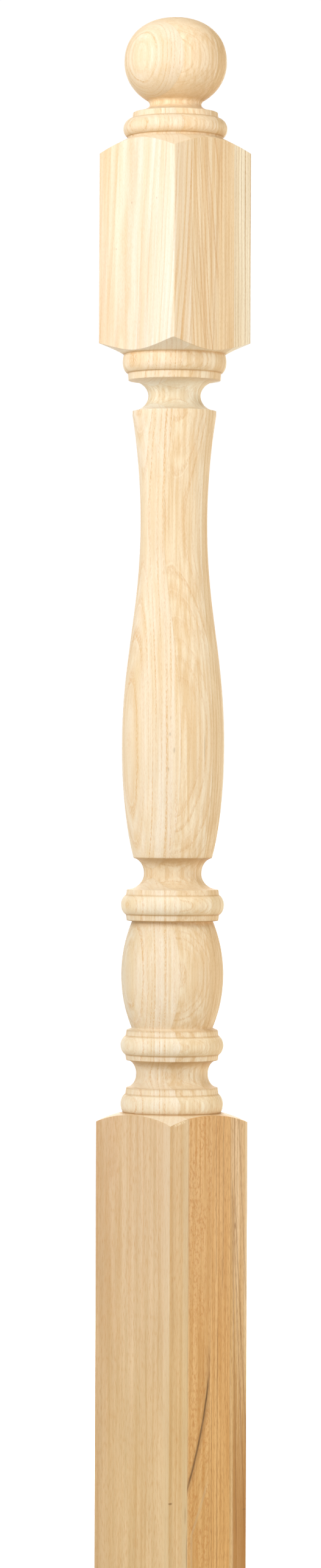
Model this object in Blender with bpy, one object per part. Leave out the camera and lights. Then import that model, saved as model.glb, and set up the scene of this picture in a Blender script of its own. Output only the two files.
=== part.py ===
"""A turned newel post of pale, unfinished hardwood.

The blank is square stock. It is left square in two places, for a handrail and for the foot of the
stair, and turned between and above them: a ball, then beads, hollows, a long vase and a barrel.
The post is the square blank kept only where it lies inside the turned outline, so the shoulders of
the squares get the curved edges that a lathe leaves on flat faces.

The post stands on its flat underside, centred on the origin, with the faces of its squares across
X and Y.
"""

import math
from collections import namedtuple

import bmesh
import bpy

MM = 0.001

# Driving dimensions of the blank, in millimetres
POST_HEIGHT = 1219.2        # 48 in
SQUARE_WIDTH = 82.55        # 3 1/4 in
ARRIS_RADIUS = 1.4          # the long corners are eased
TURNING_SIDES = 36          # facets around a turned member
LATHE_SWING = 61.0          # radius that clears the corners of the squares
SPARE_LENGTH = 6.0          # how far blank and turning run past each other

# Sizes of the turned members, in millimetres. Heights are above the underside, and each member is
# described from the top down.
Bead = namedtuple("Bead", "top top_radius crest radius bottom bottom_radius")
Hollow = namedtuple("Hollow", "top top_radius waist radius bottom bottom_radius")
Band = namedtuple("Band", "top top_radius bottom bottom_radius")

BALL_EQUATOR = 1184.8
BALL_RADIUS = 39.15
BALL_CROWN_POWER = 2.20     # 2 would be round, more is flatter on top
BALL_UNDERSIDE = 34.65      # half height of the ellipse below the equator
BALL_BOTTOM = 1155.2

RIM_RADIUS = 35.0           # a fillet at its free edge
ROOT_RADIUS = 35.6          # and where it meets a bead

NECK = Hollow(1154.2, 20.6, 1152.2, 19.7, 1146.7, 31.0)
NECK_FILLET = Band(1146.4, 32.4, 1141.6, 33.0)
BALL_BEAD = Bead(1141.6, 35.1, 1134.2, 39.75, 1127.8, 36.6)
BALL_FILLET = Band(1127.8, 36.4, 1126.0, 36.5)

UPPER_SHOULDER_TOP = 1126.0
UPPER_SHOULDER_RADIUS = 37.4
UPPER_SHOULDER_SLOPE = 0.52     # fall for each millimetre outwards

VASE_BEAD = Bead(961.8, 38.6, 955.6, 39.6, 947.6, 36.4)
VASE_FILLET = Band(947.6, ROOT_RADIUS, 941.9, RIM_RADIUS + 0.2)
VASE_HOLLOW = Hollow(941.8, 32.2, 930.2, 19.95, 918.6, 31.6)

# Under the upper square: rise for each millimetre outwards, and how much less further out
DISH_SLOPE = 0.60
DISH_CURVE = 0.0075

VASE_LIP = Band(918.6, 31.95, 915.2, 31.95)
VASE_NECK = 833.0
VASE_NECK_RADIUS = 25.45
VASE_BELLY = 663.1
VASE_BELLY_RADIUS = 39.05
VASE_FLOW = 0.40            # length of the curve's handles, as a share of neck to belly
VASE_FOOT = 577.3
VASE_FOOT_RADIUS = 29.9
VASE_FOOT_SWEEP = math.radians(51.5)

FOOT_HOLLOW = Hollow(577.3, 29.9, 565.5, 21.9, 553.4, 33.6)
BARREL_TOP_FILLET = Band(553.3, RIM_RADIUS, 549.0, ROOT_RADIUS)
BARREL_TOP_BEAD = Bead(549.0, 35.9, 541.7, 39.35, 534.2, 36.0)
BARREL_TOP_BAND = Band(534.2, ROOT_RADIUS, 529.6, RIM_RADIUS)

BARREL_MIDDLE = 488.4
BARREL_HALF_LENGTH = 40.7
BARREL_RADIUS = 38.95
BARREL_END_RADIUS = 30.9

BARREL_FOOT_BAND = Band(446.1, RIM_RADIUS - 0.2, 441.7, ROOT_RADIUS - 0.1)
BARREL_FOOT_BEAD = Bead(441.7, 35.7, 434.4, 39.25, 427.3, 35.9)
BARREL_FOOT_FILLET = Band(427.3, ROOT_RADIUS, 423.0, RIM_RADIUS)
BASE_HOLLOW = Hollow(422.8, 33.3, 412.5, 27.35, 402.4, 34.0)
BASE_FILLET = Band(402.2, RIM_RADIUS - 0.1, 397.3, ROOT_RADIUS)
BASE_BEAD = Bead(397.3, 35.7, 389.8, 39.05, 383.2, 37.3)

# Top of the lower square: fall for each millimetre outwards, and how much more further out
CROWNED_SLOPE = 0.21
CROWNED_CURVE = 0.0075

BEAD_SWEEP = math.radians(62.0)
HOLLOW_SWEEP = math.radians(82.0)


def quarter(far_height, far_radius, middle, middle_radius, sweep, steps):
    """Arc of an ellipse from a member's edge to its crest or waist, the latter left out."""
    height = (far_height - middle) / math.sin(sweep)
    depth = (far_radius - middle_radius) / (1.0 - math.cos(sweep))
    points = []
    for step in range(steps):
        angle = sweep * (1.0 - step / steps)
        rise = height * math.sin(angle)
        points.append((middle + rise, middle_radius + depth * (1.0 - math.cos(angle))))
    return points


def curved_member(member, middle, sweep, steps):
    """Both arcs of a bead or a hollow, from its top edge to its bottom edge."""
    upper = quarter(member.top, member.top_radius, middle, member.radius, sweep, steps)
    lower = quarter(member.bottom, member.bottom_radius, middle, member.radius, sweep, steps)
    return upper + [(middle, member.radius)] + lower[::-1]


def bead(member, steps=3):
    return curved_member(member, member.crest, BEAD_SWEEP, steps)


def hollow(member, steps=4):
    return curved_member(member, member.waist, HOLLOW_SWEEP, steps)


def band(member):
    """A plain, nearly straight fillet."""
    return [(member.top, member.top_radius), (member.bottom, member.bottom_radius)]


def ball(steps_above=9, steps_below=6):
    """The ball, from its slightly flattened crown to where the neck leaves it."""
    points = []
    rise = POST_HEIGHT - BALL_EQUATOR
    for step in range(steps_above):
        angle = math.pi / 2 * step / steps_above
        across = math.sin(angle) ** (2.0 / BALL_CROWN_POWER)
        up = math.cos(angle) ** (2.0 / BALL_CROWN_POWER)
        points.append((BALL_EQUATOR + rise * up, BALL_RADIUS * across))
    last_angle = math.asin((BALL_EQUATOR - BALL_BOTTOM) / BALL_UNDERSIDE)
    for step in range(steps_below + 1):
        angle = last_angle * step / steps_below
        fall = BALL_UNDERSIDE * math.sin(angle)
        points.append((BALL_EQUATOR - fall, BALL_RADIUS * math.cos(angle)))
    return points


def upper_shoulder():
    """A plain cone, out past the corners of the upper square."""
    outwards = LATHE_SWING - UPPER_SHOULDER_RADIUS
    low = UPPER_SHOULDER_TOP - UPPER_SHOULDER_SLOPE * outwards
    return [(UPPER_SHOULDER_TOP, UPPER_SHOULDER_RADIUS), (low, LATHE_SWING)]


def dished_shoulder(steps=3):
    """The underside of the upper square, from past its corners in to the bead."""
    points = []
    for step in range(steps + 1):
        outwards = (LATHE_SWING - VASE_BEAD.top_radius) * (1.0 - step / steps)
        rise = DISH_SLOPE * outwards - DISH_CURVE * outwards ** 2
        points.append((VASE_BEAD.top + rise, VASE_BEAD.top_radius + outwards))
    return points[:-1]


def crowned_shoulder(steps=4):
    """The top of the lower square, from the bead out past its corners."""
    points = []
    for step in range(1, steps + 1):
        outwards = (LATHE_SWING - BASE_BEAD.bottom_radius) * step / steps
        fall = CROWNED_SLOPE * outwards + CROWNED_CURVE * outwards ** 2
        points.append((BASE_BEAD.bottom - fall, BASE_BEAD.bottom_radius + outwards))
    return points


def vase(steps_above=5, steps_middle=9, steps_below=6):
    """Flared lip, slim neck, full belly and rounded foot, as one flowing line."""
    points = []
    flare = VASE_LIP.bottom_radius - VASE_NECK_RADIUS
    for step in range(steps_above):
        share = 1.0 - step / steps_above
        height = VASE_NECK + (VASE_LIP.bottom - VASE_NECK) * share
        points.append((height, VASE_NECK_RADIUS + flare * share ** 2))
    swell = VASE_BELLY_RADIUS - VASE_NECK_RADIUS
    drop = VASE_NECK - VASE_BELLY
    for step in range(steps_middle):
        share = step / steps_middle
        back = 1.0 - share
        near_belly = 3 * back * share ** 2
        fall = 3 * back ** 2 * share * VASE_FLOW + near_belly * (1.0 - VASE_FLOW) + share ** 3
        points.append((VASE_NECK - drop * fall, VASE_NECK_RADIUS + swell * (near_belly + share ** 3)))
    foot = quarter(VASE_FOOT, VASE_FOOT_RADIUS, VASE_BELLY, VASE_BELLY_RADIUS,
                   VASE_FOOT_SWEEP, steps_below)
    return [(VASE_LIP.top, VASE_LIP.top_radius)] + points + [(VASE_BELLY, VASE_BELLY_RADIUS)] + foot[::-1]


def barrel(steps=7):
    """A round-sided barrel, one arc from end to end."""
    bulge = BARREL_RADIUS - BARREL_END_RADIUS
    arc_radius = (BARREL_HALF_LENGTH ** 2 + bulge ** 2) / (2 * bulge)
    half_angle = math.asin(BARREL_HALF_LENGTH / arc_radius)
    points = []
    for step in range(steps + 1):
        angle = half_angle * (1 - 2 * step / steps)
        inset = arc_radius * (1.0 - math.cos(angle))
        points.append((BARREL_MIDDLE + arc_radius * math.sin(angle), BARREL_RADIUS - inset))
    return points


def turned_outline():
    """(height, radius) pairs from the crown of the ball to below the underside."""
    outline = ball() + hollow(NECK, 2) + band(NECK_FILLET) + bead(BALL_BEAD) + band(BALL_FILLET)
    outline += upper_shoulder() + dished_shoulder()
    outline += bead(VASE_BEAD) + band(VASE_FILLET) + hollow(VASE_HOLLOW) + vase()
    outline += hollow(FOOT_HOLLOW) + band(BARREL_TOP_FILLET)
    outline += bead(BARREL_TOP_BEAD) + band(BARREL_TOP_BAND) + barrel()
    outline += band(BARREL_FOOT_BAND) + bead(BARREL_FOOT_BEAD) + band(BARREL_FOOT_FILLET)
    outline += hollow(BASE_HOLLOW, 3) + band(BASE_FILLET) + bead(BASE_BEAD)
    outline += crowned_shoulder()
    outline += [(-SPARE_LENGTH, LATHE_SWING), (-SPARE_LENGTH, 0.0)]
    return without_repeats(outline)


def without_repeats(outline, closest=0.05):
    """Leave out a point that another member has already placed."""
    kept = [outline[0]]
    for point in outline[1:]:
        if math.dist(point, kept[-1]) > closest:
            kept.append(point)
    return kept


def new_object(name, mesh):
    obj = bpy.data.objects.new(name, mesh)
    bpy.context.scene.collection.objects.link(obj)
    return obj


def make_turning():
    """The turned outline carried round the post's axis, kept as a guide."""
    outline = [(radius * MM, 0.0, height * MM) for height, radius in turned_outline()]
    edges = [(index, index + 1) for index in range(len(outline) - 1)]
    mesh = bpy.data.meshes.new("turned_outline")
    mesh.from_pydata(outline, edges, [])
    turning = new_object("turned_outline", mesh)
    screw = turning.modifiers.new("turn", "SCREW")
    screw.axis = "Z"
    screw.steps = TURNING_SIDES
    screw.render_steps = TURNING_SIDES
    screw.use_merge_vertices = True
    screw.merge_threshold = 0.00001
    turning.hide_render = True
    turning.display_type = "WIRE"
    return turning


def make_blank():
    """Square stock with eased long corners, standing on the ground and a little too tall."""
    tall = POST_HEIGHT + SPARE_LENGTH
    work = bmesh.new()
    bmesh.ops.create_cube(work, size=1.0)
    bmesh.ops.scale(work, vec=(SQUARE_WIDTH * MM, SQUARE_WIDTH * MM, tall * MM), verts=work.verts)
    bmesh.ops.translate(work, vec=(0.0, 0.0, tall * MM / 2), verts=work.verts)
    corners = [edge for edge in work.edges if abs(edge.verts[0].co.z - edge.verts[1].co.z) > MM]
    bmesh.ops.bevel(work, geom=corners, offset=ARRIS_RADIUS * MM, segments=2, profile=0.5,
                    affect="EDGES")
    mesh = bpy.data.meshes.new("newel_post")
    work.to_mesh(mesh)
    work.free()
    return new_object("newel_post", mesh)


def keep_only_inside(blank, turning):
    """Cut the blank down to the turning, and keep the result as the blank's own mesh."""
    cut = blank.modifiers.new("turn away the corners", "BOOLEAN")
    cut.operation = "INTERSECT"
    cut.solver = "EXACT"
    cut.object = turning
    graph = bpy.context.evaluated_depsgraph_get()
    mesh = bpy.data.meshes.new_from_object(blank.evaluated_get(graph))
    mesh.name = "newel_post"
    blank.modifiers.clear()
    blank.data = mesh


def pale_hardwood():
    """Pale hardwood, sanded and left without a finish."""
    material = bpy.data.materials.new("pale_hardwood")
    material.use_nodes = True
    shader = material.node_tree.nodes["Principled BSDF"]
    shader.inputs["Base Color"].default_value = (0.80, 0.63, 0.42, 1.0)
    shader.inputs["Roughness"].default_value = 0.62
    shader.inputs["Metallic"].default_value = 0.0
    material.diffuse_color = (0.80, 0.63, 0.42, 1.0)
    return material


def make_newel_post():
    turning = make_turning()
    post = make_blank()
    keep_only_inside(post, turning)
    post.data.materials.clear()
    post.data.materials.append(pale_hardwood())
    post.data.shade_smooth()
    post.data.set_sharp_from_angle(angle=math.radians(28.0))
    return post


def main():
    for obj in list(bpy.data.objects):
        bpy.data.objects.remove(obj, do_unlink=True)
    make_newel_post()


main()
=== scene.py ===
"""The looks of a turned newel post of pale, unfinished hardwood.

The post is glued up from four boards and turned on a lathe. Its surface is one mesh: the outline of
the turning carried round the axis, and held back to the eased square of the blank wherever it would
run past it. The wood is solid: each board has its own heart, growth rings, rays and pores, so the
grain shows ovals on the ball, straight lines on the squares and arcs on the vase, as cut wood does.
"""

import math
from collections import namedtuple
from functools import reduce

import bpy
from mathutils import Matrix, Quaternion, Vector


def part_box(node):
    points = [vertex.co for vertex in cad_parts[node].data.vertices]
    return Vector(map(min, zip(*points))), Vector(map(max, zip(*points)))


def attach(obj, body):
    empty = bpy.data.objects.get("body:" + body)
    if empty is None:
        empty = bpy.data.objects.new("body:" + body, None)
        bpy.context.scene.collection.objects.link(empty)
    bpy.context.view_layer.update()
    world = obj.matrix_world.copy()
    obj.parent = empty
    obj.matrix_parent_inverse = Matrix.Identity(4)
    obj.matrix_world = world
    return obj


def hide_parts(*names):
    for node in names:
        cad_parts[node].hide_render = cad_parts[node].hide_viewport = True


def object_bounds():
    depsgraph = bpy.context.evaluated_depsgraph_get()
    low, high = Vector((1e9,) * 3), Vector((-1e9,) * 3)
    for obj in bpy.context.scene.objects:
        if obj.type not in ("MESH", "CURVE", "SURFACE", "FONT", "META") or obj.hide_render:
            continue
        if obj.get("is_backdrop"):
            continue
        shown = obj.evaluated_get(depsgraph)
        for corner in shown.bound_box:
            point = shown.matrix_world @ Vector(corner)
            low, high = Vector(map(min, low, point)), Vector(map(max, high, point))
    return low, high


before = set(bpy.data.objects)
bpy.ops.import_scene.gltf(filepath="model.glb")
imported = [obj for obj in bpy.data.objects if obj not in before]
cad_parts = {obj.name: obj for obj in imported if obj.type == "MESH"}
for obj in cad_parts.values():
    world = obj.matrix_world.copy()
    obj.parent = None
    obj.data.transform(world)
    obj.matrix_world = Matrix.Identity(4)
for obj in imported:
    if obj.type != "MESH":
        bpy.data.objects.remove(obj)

CAD_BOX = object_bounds()

MM = 0.001

# The blank, in millimetres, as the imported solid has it
LOWEST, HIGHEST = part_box("newel_post")
ROUNDING = 0.002            # kept back, so that rounding leaves nothing outside the solid's box
POST_HEIGHT = HIGHEST.z / MM - ROUNDING
SQUARE_WIDTH = (HIGHEST.x - LOWEST.x) / MM - ROUNDING / 10
HALF_WIDTH = SQUARE_WIDTH / 2
ARRIS_RADIUS = 1.4
ARRIS_STEPS = 6
FACE_STRIPS = 40            # strips across each face, and so across each quarter of the turning

# Sizes of the turned members, in millimetres. Heights are above the underside, and each member is
# described from the top down.
Bead = namedtuple("Bead", "top top_radius crest radius bottom bottom_radius")
Hollow = namedtuple("Hollow", "top top_radius waist radius bottom bottom_radius")
Band = namedtuple("Band", "top top_radius bottom bottom_radius")

BALL_EQUATOR = 1184.8
BALL_RADIUS = 39.15
BALL_CROWN_POWER = 2.20
BALL_UNDERSIDE = 34.65
BALL_BOTTOM = 1156.2

RIM_RADIUS = 35.0
ROOT_RADIUS = 35.6

NECK = Hollow(1156.1, 21.9, 1152.5, 19.7, 1146.7, 31.0)
NECK_SWEEP = math.radians(60.0)
NECK_FILLET = Band(1146.4, 32.4, 1141.6, 33.0)
BALL_BEAD = Bead(1141.6, 35.1, 1134.2, 39.75, 1127.8, 36.6)
BALL_FILLET = Band(1127.8, 36.4, 1126.0, 36.5)

VASE_BEAD = Bead(961.8, 38.6, 955.6, 39.6, 947.6, 36.4)
VASE_FILLET = Band(947.6, ROOT_RADIUS, 941.9, RIM_RADIUS + 0.2)
VASE_HOLLOW = Hollow(941.8, 32.2, 930.2, 19.95, 918.6, 31.6)

VASE_LIP = Band(918.6, 31.95, 915.2, 31.95)
VASE_NECK = 833.0
VASE_NECK_RADIUS = 25.45
VASE_BELLY = 663.1
VASE_BELLY_RADIUS = 39.05
VASE_FLOW = 0.40
VASE_FOOT = 577.3
VASE_FOOT_RADIUS = 29.9
VASE_FOOT_SWEEP = math.radians(51.5)

FOOT_HOLLOW = Hollow(577.3, 29.9, 565.5, 21.9, 553.4, 33.6)
BARREL_TOP_FILLET = Band(553.3, RIM_RADIUS, 549.0, ROOT_RADIUS)
BARREL_TOP_BEAD = Bead(549.0, 35.9, 541.7, 39.35, 534.2, 36.0)
BARREL_TOP_BAND = Band(534.2, ROOT_RADIUS, 529.6, RIM_RADIUS)

BARREL_MIDDLE = 488.4
BARREL_HALF_LENGTH = 40.7
BARREL_RADIUS = 38.95
BARREL_END_RADIUS = 30.9

BARREL_FOOT_BAND = Band(446.1, RIM_RADIUS - 0.2, 441.7, ROOT_RADIUS - 0.1)
BARREL_FOOT_BEAD = Bead(441.7, 35.7, 434.4, 39.25, 427.3, 35.9)
BARREL_FOOT_FILLET = Band(427.3, ROOT_RADIUS, 423.0, RIM_RADIUS)
BASE_HOLLOW = Hollow(422.8, 33.3, 412.5, 27.35, 402.4, 34.0)
BASE_FILLET = Band(402.2, RIM_RADIUS - 0.1, 397.3, ROOT_RADIUS)
BASE_BEAD = Bead(397.3, 35.7, 389.8, 39.05, 383.2, 37.3)

BEAD_SWEEP = math.radians(62.0)
HOLLOW_SWEEP = math.radians(82.0)

# The shoulders of the squares: where each starts beside its bead, its rise for each millimetre
# outwards there, and how that changes further out
Shoulder = namedtuple("Shoulder", "height radius slope curve")
UPPER_SHOULDER = Shoulder(1126.0, 37.4, -0.52, 0.0)
DISHED_SHOULDER = Shoulder(VASE_BEAD.top, VASE_BEAD.top_radius, 0.60, -0.0075)
CROWNED_SHOULDER = Shoulder(BASE_BEAD.bottom, BASE_BEAD.bottom_radius, -0.21, -0.0075)

# Crisp corners of the fillets are sanded round
CRISP_TURN = math.radians(28.0)
SANDED_RADIUS = 0.55
SANDED_STEPS = 3
SHARP_ANGLE = math.radians(34.0)
MERGED = 0.002              # points closer than this become one

# A row of the surface. The row lies at its radius, or reaches for the blank's own surface by the
# share given. Its height is its own, or a share of what the shoulders have at that radius.
Row = namedtuple("Row", "radius height reach upper dished crowned", defaults=(0.0, 0.0, 0.0, 0.0))
SHOULDERS = {"upper": UPPER_SHOULDER, "dished": DISHED_SHOULDER, "crowned": CROWNED_SHOULDER}

# The four boards of the blank lie between three glue lines, square to Y. A glue line is at a place
# across the post, in millimetres, and leans by a share of the height.
GlueLine = namedtuple("GlueLine", "place lean")
GLUE_LINES = (GlueLine(-22.5, 0.0), GlueLine(0.3, 0.006), GlueLine(22.6, 0.0))

# Where the tree's heart stood beside each board and how it leans near the top of the post, how wide
# the rings are, how strongly they show on the turned work, the upper square and the lower square,
# how strongly the pores show, and what share of the streaks follows the rings
Board = namedtuple("Board", "heart_x heart_y lean ring turned upper lower pores follow")
Tones = namedtuple("Tones", "pale deep line")


def paint(red, green, blue):
    """A colour given as it looks, 0 to 255, turned into the linear values that light works with."""
    shares = [channel / 255.0 for channel in (red, green, blue)]
    linear = [s / 12.92 if s <= 0.04045 else ((s + 0.055) / 1.055) ** 2.4 for s in shares]
    return (*linear, 1.0)


BOARDS = (
    Board(-20.0, -80.0, 0.077, 3.40, 0.70, 0.75, 0.30, 0.60, 0.70),
    Board(-30.5, 26.0, 0.052, 1.90, 0.42, 0.60, 0.24, 0.60, 0.20),
    Board(20.0, 130.0, 0.000, 3.10, 0.36, 0.60, 0.50, 0.70, 0.40),
    Board(10.0, -90.0, 0.010, 3.00, 0.60, 0.80, 0.46, 0.60, 0.90),
)
FRESH_TONES = (
    Tones(paint(237, 222, 198), paint(228, 204, 165), paint(212, 163, 100)),
    Tones(paint(234, 215, 182), paint(222, 192, 148), paint(204, 153, 94)),
    Tones(paint(229, 204, 163), paint(215, 181, 133), paint(194, 143, 84)),
    Tones(paint(240, 226, 196), paint(228, 204, 164), paint(186, 144, 92)),
)
PLANED_TONES = (
    Tones(paint(223, 194, 153), paint(208, 175, 128), paint(194, 138, 72)),
    Tones(paint(220, 176, 116), paint(202, 152, 88), paint(174, 114, 52)),
    Tones(paint(222, 176, 114), paint(204, 152, 87), paint(168, 110, 50)),
    Tones(paint(228, 196, 150), paint(206, 162, 100), paint(160, 108, 48)),
)
LEAN_STARTS = 900.0

# Small marks in the wood, in millimetres: how wide and high each is and how strongly it shows
Spot = namedtuple("Spot", "x y z wide high strength")
SPOTS = (
    Spot(-4.7, -41.3, 1075.0, 0.8, 1.3, 0.35),
    Spot(22.4, -41.3, 1076.5, 0.8, 1.0, 0.30),
    Spot(-21.7, -41.3, 1041.0, 0.7, 1.0, 0.35),
    Spot(14.2, -24.7, 794.3, 0.8, 1.2, 0.55),
    Spot(26.6, -28.5, 684.0, 0.9, 2.6, 0.25),
    Spot(26.3, -28.8, 671.5, 1.1, 2.0, 0.25),
    Spot(28.6, -26.5, 659.4, 1.0, 3.0, 0.30),
    Spot(25.2, -29.4, 645.0, 1.0, 2.2, 0.25),
    Spot(38.6, -4.2, 662.0, 0.55, 15.0, 0.55),
    Spot(41.3, -39.9, 92.0, 2.3, 1.1, 0.80),
    Spot(41.3, 38.4, 80.5, 2.6, 0.8, 0.60),
    Spot(41.3, 27.6, 297.5, 0.6, 3.5, 0.80),
    Spot(41.3, -24.4, 82.0, 0.8, 10.0, 0.40),
    Spot(41.3, -22.9, 52.0, 0.8, 22.0, 0.40),
)

# Dark lines down the right-hand face: place at the top end, lean, top and bottom, width and strength
Trace = namedtuple("Trace", "y lean top bottom wide strength")
TRACES = (
    Trace(7.6, -0.046, 1122.0, 962.0, 1.20, 0.42),
    Trace(-8.5, 0.090, 1124.0, 1056.0, 1.70, 0.34),
    Trace(-3.4, 0.030, 1080.0, 1000.0, 0.80, 0.36),
    Trace(-22.0, 0.200, 1038.0, 962.0, 0.70, 0.38),
    Trace(-17.5, 0.120, 1060.0, 962.0, 0.60, 0.32),
    Trace(-12.4, 0.060, 1060.0, 962.0, 0.70, 0.36),
    Trace(-16.0, 0.050, 1124.0, 1040.0, 0.60, 0.30),
    Trace(14.0, 0.000, 1124.0, 962.0, 1.60, 0.22),
    Trace(7.2, 0.004, 384.0, 262.0, 0.80, 0.45),
    Trace(10.8, 0.000, 384.0, 300.0, 0.60, 0.40),
    Trace(15.1, -0.004, 384.0, 250.0, 0.85, 0.45),
    Trace(9.2, 0.000, 222.0, -20.0, 0.85, 0.45),
    Trace(3.0, 0.002, 170.0, -20.0, 0.70, 0.40),
    Trace(24.3, 0.022, 330.0, 60.0, 1.00, 0.46),
    Trace(24.6, 0.055, 330.0, 60.0, 1.10, 0.44),
    Trace(27.0, 0.070, 322.0, 120.0, 1.10, 0.50),
    Trace(31.0, 0.060, 384.0, 240.0, 0.90, 0.40),
    Trace(26.4, 0.010, 384.0, 322.0, 0.90, 0.50),
)

# The mineral streak: where its fibres start to sweep aside, where they end, and how far they go
STREAK_TOP = 190.0
STREAK_FOOT = 66.0
STREAK_FALL = 88.0
STREAK_SWEEP = 22.0
STREAK_BEND = 1.58

# Its parts: how far aside each lies, its half width and how far that fades out, its lower and upper
# end and how soft these are. The grey one runs out through the underside.
Vein = namedtuple("Vein", "aside inner outer low high soft")
BROWN_EDGES = Vein(0.9, 0.4, 5.2, 100.0, 206.0, 12.0)
DARK_CORE = Vein(0.0, 0.30, 1.45, 101.0, 182.0, 9.0)
GREY_BESIDE = Vein(20.0, 0.3, 2.2, -100.0, 104.0, 8.0)

# Corners between the turned members, darkened with painted shade: height, how far the painted shade fades
# downwards, and how strong it is
Corner = namedtuple("Corner", "height fade strength")
SHADED_CORNERS = (
    Corner(BALL_BEAD.top, 1.4, 0.50),
    Corner(BALL_BEAD.bottom, 2.0, 0.60),
    Corner(VASE_BEAD.top, 2.0, 0.55),
    Corner(VASE_BEAD.bottom, 1.2, 0.65),
    Corner(VASE_FILLET.bottom, 5.0, 0.35),
    Corner(VASE_FOOT, 9.0, 0.70),
    Corner(BARREL_TOP_FILLET.bottom, 1.2, 0.55),
    Corner(BARREL_TOP_BEAD.bottom, 1.2, 0.75),
    Corner(BARREL_TOP_BAND.bottom, 6.0, 0.80),
    Corner(BARREL_FOOT_BAND.top, 1.5, 0.40),
    Corner(BARREL_FOOT_BAND.bottom, 1.2, 0.55),
    Corner(BARREL_FOOT_BEAD.bottom, 1.2, 0.75),
    Corner(BARREL_FOOT_FILLET.bottom, 8.0, 0.80),
    Corner(BASE_FILLET.top, 1.5, 0.40),
    Corner(BASE_FILLET.bottom, 1.2, 0.55),
    Corner(BASE_BEAD.bottom, 1.6, 0.70),
)

# Unevenness in the wood: the size of its grains along three axes, in millimetres or, round the heart,
# in radians; how far the pattern is moved along them; and the noise's detail and roughness. The
# reach of one is how far the rings stray by it, in millimetres or in rings.
Grain = namedtuple("Grain", "sizes shift detail roughness", defaults=((0.0, 0.0, 0.0), 2.0, 0.5))
WANDER = Grain((45.0, 45.0, 160.0))
WANDER_ACROSS = Grain((45.0, 45.0, 160.0), (31.0, 0.0, 0.0))
WANDER_REACH = 3.6
QUIVER = Grain((9.0, 9.0, 28.0), (0.0, 0.0, 7.0), 1.0)
QUIVER_REACH = 0.8
RING_SPACING = Grain((7.0, 1.0, 1.0), (0.0, 0.0, 0.5), 1.0)
RING_SPACING_REACH = 1.6
SPACING_SHIFT = 5.3         # how far each board's own rings are from the last one's
RING_STRENGTH = Grain((1.0, 140.0, 0.5), detail=1.0)
RING_SHIFT = 3.71           # the same, for how strongly each ring shows
BOARD_SHIFT = 1700.0        # and for the fibres, pores and streaks of each board
BROAD_LAYERS = Grain((8.0, 0.5, 240.0))
FINER_LAYERS = Grain((2.2, 0.25, 150.0), (0.0, 9.0, 0.0))
UPRIGHT_STREAKS = Grain((3.2, 3.2, 130.0), (0.0, 0.0, 5.0))
NARROW_STREAKS = Grain((0.8, 0.8, 60.0))
CLOUDS = Grain((20.0, 20.0, 60.0))
FIBRES = Grain((0.55, 0.55, 2.8), detail=1.0)
FINE_PORES = Grain((0.60, 0.60, 1.0))
PORE_LENGTH = 2.6
PLANED_PORES_LONGER = 3.4
RAY_FLECKS = Grain((1.9, 6.0, 3.6), roughness=0.6)
FLECK_PATCHES = Grain((9.0, 9.0, 42.0), (0.0, 0.0, 3.0))
SHIVER = Grain((1.0, 30.0, 14.0), (3.0, 0.0, 0.0))
TORN_GRAIN = Grain((0.9, 0.9, 1.6), detail=3.0)

# The part of each noise that is spread from 0 to 1
LAYER_RANGE = (0.34, 0.66)
DOT_RANGE = (0.36, 0.62)
PORE_RANGE = (0.48, 0.72)
FLECK_RANGE = (0.46, 0.64)
PATCH_RANGE = (0.36, 0.58)
TORN_RANGE = (0.40, 0.56)

# Where in a growth ring the early pores and the late wood come in and fade out, from 0 to 1
EARLY_RISE = (0.0, 0.08)
EARLY_FALL = (0.16, 0.52)
LATE_RISE = (0.45, 0.95)
LATE_FALL = (0.96, 1.0)

# Relief of the grain, its depth in millimetres, and how much the bare wood shines
BUMP_STRENGTH = 0.15
BUMP_DEPTH = 0.15
SHEEN_LEVEL = 0.25

# Where one kind of surface gives way to the next, in millimetres from the axis, but for the way that
# end grain faces, which is the upright part of its normal
TURNED_EDGE = (39.9, 40.9)
SQUARE_EDGE = (HALF_WIDTH - 1.0, HALF_WIDTH - 0.55)
GLUE_EDGE = (0.10, 0.40)
END_GRAIN_EDGE = (0.30, 0.80)
FACE_ALONE = 40.6
FACE_WITH_ARRIS = 40.0
NEAR_SIDE = 12.0            # marks of the right-hand face show beyond this

# Heights over which a tone comes in or fades out
PLANED_EDGE = (390.0, 400.0)
FOOT_FADE = (60.0, 350.0)
RIGHT_FOOT_FADE = (40.0, 160.0)
BROWN_BAND_FADE = (50.0, 240.0)
PALE_EDGE_FADE = (120.0, 280.0)
DISH_FADE = (900.0, 940.0)
TOP_FADE = (1125.0, 1127.0)
NECK_FADE = (1140.0, 1160.0)
TORN_FADE = (384.0, 385.2)

# The same across the post, from its axis, and how far two of the edges waver with the grain
BROWN_BAND_EDGE = (25.5, 29.5)
BROWN_BAND_WAVER = 4.0
BROWN_BAND_FRONT = (0.0, 39.0)
PALE_EDGE = (38.0, 41.5)
PALE_EDGE_WAVER = 3.0
ARRIS_EDGE = (-41.2, -40.6)
RIGHT_HAND_SIDE = (-16.0, 4.0)
SHADED_SIDE = (-8.0, 20.0)
OUTER_SIDE = (12.0, 40.0)
LOW_LEFT_SIDE = (18.0, 40.0)
FRONT_SIDE = (-24.0, -4.0)

# How far a surface faces down where its painted shade comes in, from 0 to 1
UNDERCUT_FACING = (0.05, 0.85)
DISH_FACING = (0.15, 0.50)
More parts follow.
